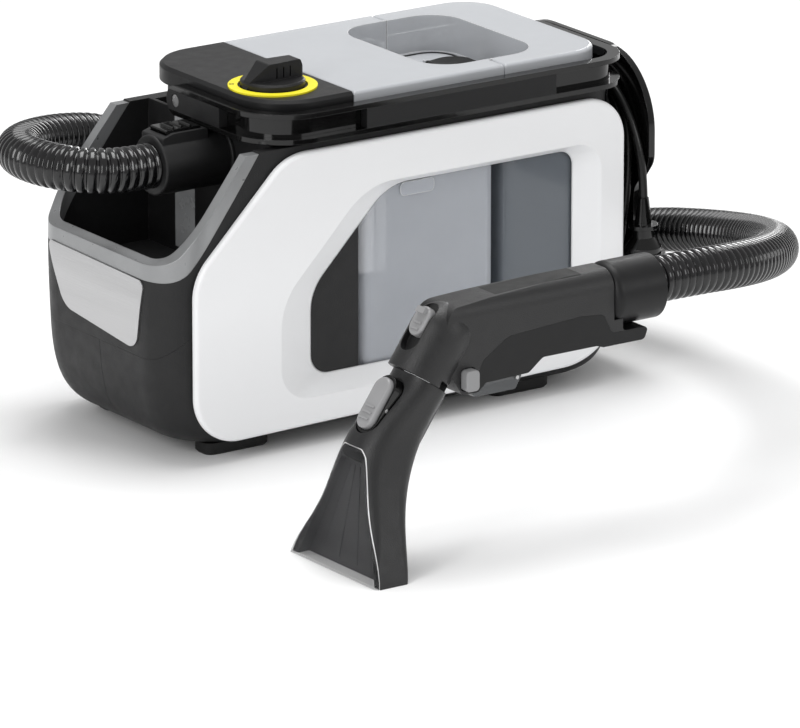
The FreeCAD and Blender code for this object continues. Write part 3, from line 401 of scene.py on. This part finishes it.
HOSE_ROUTE = [
    (-190, -10, 219), (-222, -10, 219), (-250, 8, 221), (-262, 46, 221), (-252, 88, 218),
    (-222, 118, 214), (-180, 135, 209), (-135, 143, 200), (-90, 147, 172), (-48, 150, 128),
    (-6, 153, 80), (42, 156, 42), (100, 158, 22), (158, 154, 19.5), (208, 138, 25),
    (246, 108, 42), (268, 66, 64), (278, 18, 82), (284, -34, 96), (286, -88, 107),
    (280, -142, 118), (264, -196, 130), (238, -248, 142), (204, -294, 153), (162, -332, 163),
    (114, -359, 172), (66, -369, 177), (16, -369, 177),
]
HOSE_RADIUS = 18.0
HOSE_VALLEY = 15.2
HOSE_PITCH = 7.0
RIB_STEPS = 8
RIB_CREST, RIB_SWELL, RIB_SHARPNESS = 0.82, 0.09, 0.8
HOSE_SIDES = 40


def spline_object(name, route, resolution):
    """A curve object of one NURBS spline with the route as its control points."""
    curve = bpy.data.curves.new(name, "CURVE")
    curve.dimensions = "3D"
    spline = curve.splines.new("NURBS")
    spline.points.add(len(route) - 1)
    for point, place in zip(spline.points, route):
        point.co = (place[0] * MM, place[1] * MM, place[2] * MM, 1)
    spline.order_u = 3
    spline.use_endpoint_u = True
    spline.resolution_u = resolution
    item = bpy.data.objects.new(name, curve)
    bpy.context.scene.collection.objects.link(item)
    return item


def followed_points(route, step):
    """Points a step apart along the route's spline, and the length of the line they make."""
    guide = spline_object("guide", route, 24)
    bpy.context.view_layer.update()
    mesh = bpy.data.meshes.new_from_object(guide)
    line = [v.co.copy() for v in mesh.vertices]
    bpy.data.objects.remove(guide)
    bpy.data.meshes.remove(mesh)
    run = [0.0]
    for a, b in zip(line, line[1:]):
        run.append(run[-1] + (b - a).length)
    count = max(2, round(run[-1] / step))
    points, at = [], 0
    for i in range(count + 1):
        want = run[-1] * i / count
        while at < len(line) - 2 and run[at + 1] < want:
            at += 1
        part = (want - run[at]) / max(run[at + 1] - run[at], 1e-9)
        points.append(line[at].lerp(line[at + 1], min(1.0, max(0.0, part))))
    return points, run[-1]


def frames_along(points):
    """A direction and two cross directions at each point, carried along without twisting."""
    frames, side = [], None
    for i, point in enumerate(points):
        ahead = (points[min(i + 1, len(points) - 1)] - points[max(i - 1, 0)]).normalized()
        if side is None:
            side = ahead.orthogonal().normalized()
        side = (side - ahead * side.dot(ahead)).normalized()
        frames.append((ahead, side, ahead.cross(side)))
    return frames


def add_hose():
    """The ribbed suction hose from the connector, round behind the machine, to the wand."""
    path, length = followed_points(HOSE_ROUTE, HOSE_PITCH * MM / RIB_STEPS)
    points, faces = [], []
    for i, (at, (_, side, other)) in enumerate(zip(path, frames_along(path))):
        wave = math.cos(2 * math.pi * i / RIB_STEPS)
        lift = 1.0 - max(0.0, -wave) ** RIB_SHARPNESS
        crest = RIB_CREST * lift + RIB_SWELL * (wave + 1)
        radius = HOSE_VALLEY + (HOSE_RADIUS - HOSE_VALLEY) * crest
        for k in range(HOSE_SIDES):
            turn = 2 * math.pi * k / HOSE_SIDES
            points.append(at + (side * math.cos(turn) + other * math.sin(turn)) * radius * MM)
    for i in range(len(path) - 1):
        for k in range(HOSE_SIDES):
            a, b = i * HOSE_SIDES + k, i * HOSE_SIDES + (k + 1) % HOSE_SIDES
            faces.append((a, b, b + HOSE_SIDES, a + HOSE_SIDES))
    last = (len(path) - 1) * HOSE_SIDES
    faces.append(tuple(range(HOSE_SIDES - 1, -1, -1)))
    faces.append(tuple(range(last, last + HOSE_SIDES)))
    hose = add_piece("ribbed_hose", points, faces, "hose_black", "root")
    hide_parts("suction_hose")


add_hose()


# ---------------------------------------------------------------- power cord

CORD_RADIUS = 3.5
CORD_LAYERS = (211.6, 218.4)
CORD_ROWS = (28.5, 20.5, 12.5, 4.5)
COIL_HALF, COIL_LOW, COIL_HIGH, COIL_CORNER = 83.0, 57.0, 250.0, 60.0
LEAD_ROUTE = [(214.5, -43.5, 139.9), (214.5, -42.5, 118), (213, -33, 99)]
TAIL_ROUTE = [(213, -47, 241), (214.5, -68, 230), (216, -83, 212), (217.5, -93, 190),
              (219, -97.5, 168), (219, -98.5, 148.2)]
TURNS = 8
TURN_POINTS = 24
LAST_SHARE = 0.56  # how much of the last turn is wound
SHIFT_START, SHIFT_END = 0.72, 0.84  # where a row's first turn crosses to its second
STEP_START, STEP_END = 0.84, 0.96  # where a row's second turn steps out to the next row


def coil_point(share, inset):
    """A point on the rounded oval, a share of a turn on from its lowest middle towards +Y."""
    half, low, high = COIL_HALF - inset, COIL_LOW + inset, COIL_HIGH - inset
    corner = COIL_CORNER - inset
    flat, tall = 2 * (half - corner), high - low - 2 * corner
    arc = math.pi / 2 * corner
    legs = [("line", flat / 2, (0, low), (-1, 0)),
            ("arc", arc, (corner - half, low + corner), -90),
            ("line", tall, (-half, low + corner), (0, 1)),
            ("arc", arc, (corner - half, high - corner), 180),
            ("line", flat, (corner - half, high), (1, 0)),
            ("arc", arc, (half - corner, high - corner), 90),
            ("line", tall, (half, high - corner), (0, -1)),
            ("arc", arc, (half - corner, low + corner), 0),
            ("line", flat / 2, (half - corner, low), (-1, 0))]
    left = (share % 1.0) * sum(leg[1] for leg in legs)
    for kind, length, start, way in legs:
        if left <= length:
            break
        left -= length
    if kind == "line":
        return -start[0] - way[0] * left, start[1] + way[1] * left
    turn = math.radians(way) - left / corner
    return -start[0] - corner * math.cos(turn), start[1] + corner * math.sin(turn)


def eased(part):
    """A smooth step from none to one."""
    part = min(1.0, max(0.0, part))
    return part * part * (3 - 2 * part)


def coil_route():
    """Eight turns from the innermost row outwards, two side by side in each row."""
    route = []
    for turn in range(TURNS):
        row, second = divmod(turn, 2)
        layer = (row + second) % 2
        following = CORD_ROWS[min(row + 1, len(CORD_ROWS) - 1)]
        for i in range(TURN_POINTS):
            share = i / TURN_POINTS
            if turn == TURNS - 1 and share > LAST_SHARE:
                return route
            x, inset = CORD_LAYERS[layer], CORD_ROWS[row]
            if second:
                step = eased((share - STEP_START) / (STEP_END - STEP_START))
                inset += (following - inset) * step
            else:
                shift = eased((share - SHIFT_START) / (SHIFT_END - SHIFT_START))
                x += (CORD_LAYERS[1 - layer] - x) * shift
            y, z = coil_point(share, inset)
            route.append((x, y, z))
    return route


def add_power_cord():
    """The cord from its gland, wound in the store behind the housing, to the stowed plug."""
    route = LEAD_ROUTE + coil_route()[1:] + TAIL_ROUTE
    item = spline_object("wound_power_cord", route, 6)
    item.data.bevel_depth = CORD_RADIUS * MM
    item.data.bevel_resolution = 5
    item.data.use_fill_caps = True
    _, length = followed_points(route, 2 * MM)
    dress(item, "cord_black")
    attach(item, "root")
    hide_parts("cord_lead", "cord_coil", "power_cord")


add_power_cord()


# ---------------------------------------------------------------- dial marks

MARK_RADIUS = 32.0
MARK_SUNK, MARK_RAISED = 0.1, 0.12
ROUND_MARK_AT, BAR_MARK_AT, DOT_MARKS_AT = 146, 100, (56, 62)  # degrees round the dial


def add_dial_marks():
    """A round mark, a bar and two dots on the yellow ring."""
    low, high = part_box("dial_ring")
    centre = ((low.x + high.x) / 2 / MM, (low.y + high.y) / 2 / MM)
    bottom, top = high.z / MM - MARK_SUNK, high.z / MM + MARK_RAISED

    def on_ring(degrees):
        turn = math.radians(degrees)
        return (centre[0] + MARK_RADIUS * math.cos(turn),
                centre[1] + MARK_RADIUS * math.sin(turn))

    x, y = on_ring(BAR_MARK_AT)
    parts = [ring_mesh(on_ring(ROUND_MARK_AT), 2.0, 1.35, bottom, top),
             box_mesh((x - 0.4, y - 2.0, bottom), (x + 0.4, y + 2.0, top))]
    for degrees in DOT_MARKS_AT:
        parts.append(ring_mesh(on_ring(degrees), 0.9, 0.2, bottom, top, steps=16))
    points, faces = merged(parts)
    add_piece("dial_marks", points, faces, "mark_black", "root", smooth=False)


add_dial_marks()


# ---------------------------------------------------------------- small moulded details

def ribbon_mesh(line, width, low, high):
    """A flat strip of a width along a level line of (x, y) points, in millimetres."""
    points, faces = [], []
    for i, (x, y) in enumerate(line):
        before, after = Vector(line[max(i - 1, 0)]), Vector(line[min(i + 1, len(line) - 1)])
        along = (after - before).normalized()
        across = Vector((-along.y, along.x)) * width / 2
        for side, z in ((-1, low), (-1, high), (1, high), (1, low)):
            points.append(((x + side * across.x) * MM, (y + side * across.y) * MM, z * MM))
    for i in range(len(line) - 1):
        a, b = 4 * i, 4 * i + 4
        faces += [(a + k, b + k, b + (k + 1) % 4, a + (k + 1) % 4) for k in range(4)]
    last = 4 * (len(line) - 1)
    faces += [(3, 2, 1, 0), (last, last + 1, last + 2, last + 3)]
    return points, faces


def rounded_line(open_x, closed_x, half, radius, steps=8):
    """A U of (x, y) points, open at one x and closed with rounded corners at the other."""
    way = 1 if closed_x > open_x else -1
    line = [(open_x, -half)]
    for i in range(steps + 1):
        turn = math.pi / 2 * i / steps
        line.append((closed_x - way * radius * (1 - math.sin(turn)),
                     -half + radius * (1 - math.cos(turn))))
    for i in range(steps + 1):
        turn = math.pi / 2 * i / steps
        line.append((closed_x - way * radius * (1 - math.cos(turn)),
                     half - radius * (1 - math.sin(turn))))
    line.append((open_x, half))
    return line


RECESS_FLOOR, SEAL_HALF, SEAL_CORNER, SEAL_WIDTH = 246.0, 64.0, 20.0, 2.0
SEAL_SUNK, SEAL_RAISED = 0.2, 0.7
SEALS = [  # name, body, where the line is open and where it closes along the machine
    ("dirty_lid_seal", "dirty_tank_body", 84.5, 43.0),
    ("fresh_lid_seal", "fresh_tank_body", 92.0, 134.0),
]
TANK_WALL = 2.5
RIB_FRONT, RIB_REAR, RIB_LOW, RIB_HIGH = -29, -27.8, 53, 240
RIB_DEPTH, RIB_BITE = 1.6, 0.5  # out of the wall's inner face and into the wall
FIN_LOW, FIN_HIGH = 5, 78
FIN_BACK_LOW, FIN_BACK_HIGH = 14.6, 23.6  # behind the mouth, at the bottom and at the top
FIN_DEPTH, FIN_HALF = 4.2, 0.6
FINS = [(-34, -9), (-12, -3.2), (12, 3.2), (34, 9)]  # sideways at the bottom and at the top


def add_recess_seals():
    """The dark seal line that runs round the floor of the hand recess, half on each lid."""
    for name, body, open_x, closed_x in SEALS:
        line = rounded_line(open_x, closed_x, SEAL_HALF, SEAL_CORNER)
        points, faces = ribbon_mesh(line, SEAL_WIDTH, RECESS_FLOOR - SEAL_SUNK,
                                    RECESS_FLOOR + SEAL_RAISED)
        add_piece(name, points, faces, "rubber_black", body, smooth=False)


def add_tank_ribs():
    """Thin stiffening ribs inside the tank's side walls, which the highlight painted along the
    tank finish's edges shows as bright upright lines.
    """
    low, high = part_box("dirty_tank")
    parts = []
    for side, outside in ((-1, low.y / MM), (1, high.y / MM)):
        near, far = sorted((outside - side * (TANK_WALL - RIB_BITE),
                            outside - side * (TANK_WALL + RIB_DEPTH)))
        parts.append(box_mesh((RIB_FRONT, near, RIB_LOW), (RIB_REAR, far, RIB_HIGH)))
    points, faces = merged(parts)
    add_piece("dirty_tank_ribs", points, faces, "tank_clear", "dirty_tank_body",
              smooth=False)


def add_nozzle_fins():
    """Four fins on the back wall of the nozzle's channel that spread the suction."""
    low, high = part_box("nozzle_body")
    mouth, middle = low.x / MM, (low.y + high.y) / 2 / MM
    parts = []
    for foot, head in FINS:
        points = []
        for z, y, back in ((FIN_LOW, foot, FIN_BACK_LOW), (FIN_HIGH, head, FIN_BACK_HIGH)):
            for x in (back - FIN_DEPTH, back):
                for edge in (-FIN_HALF, FIN_HALF):
                    points.append(((mouth + x) * MM, (middle + y + edge) * MM, z * MM))
        parts.append((points, BOX_FACES))
    points, faces = merged(parts)
    add_piece("nozzle_fins", points, faces, "wand_black", "root", smooth=False)


add_recess_seals()
add_tank_ribs()
add_nozzle_fins()
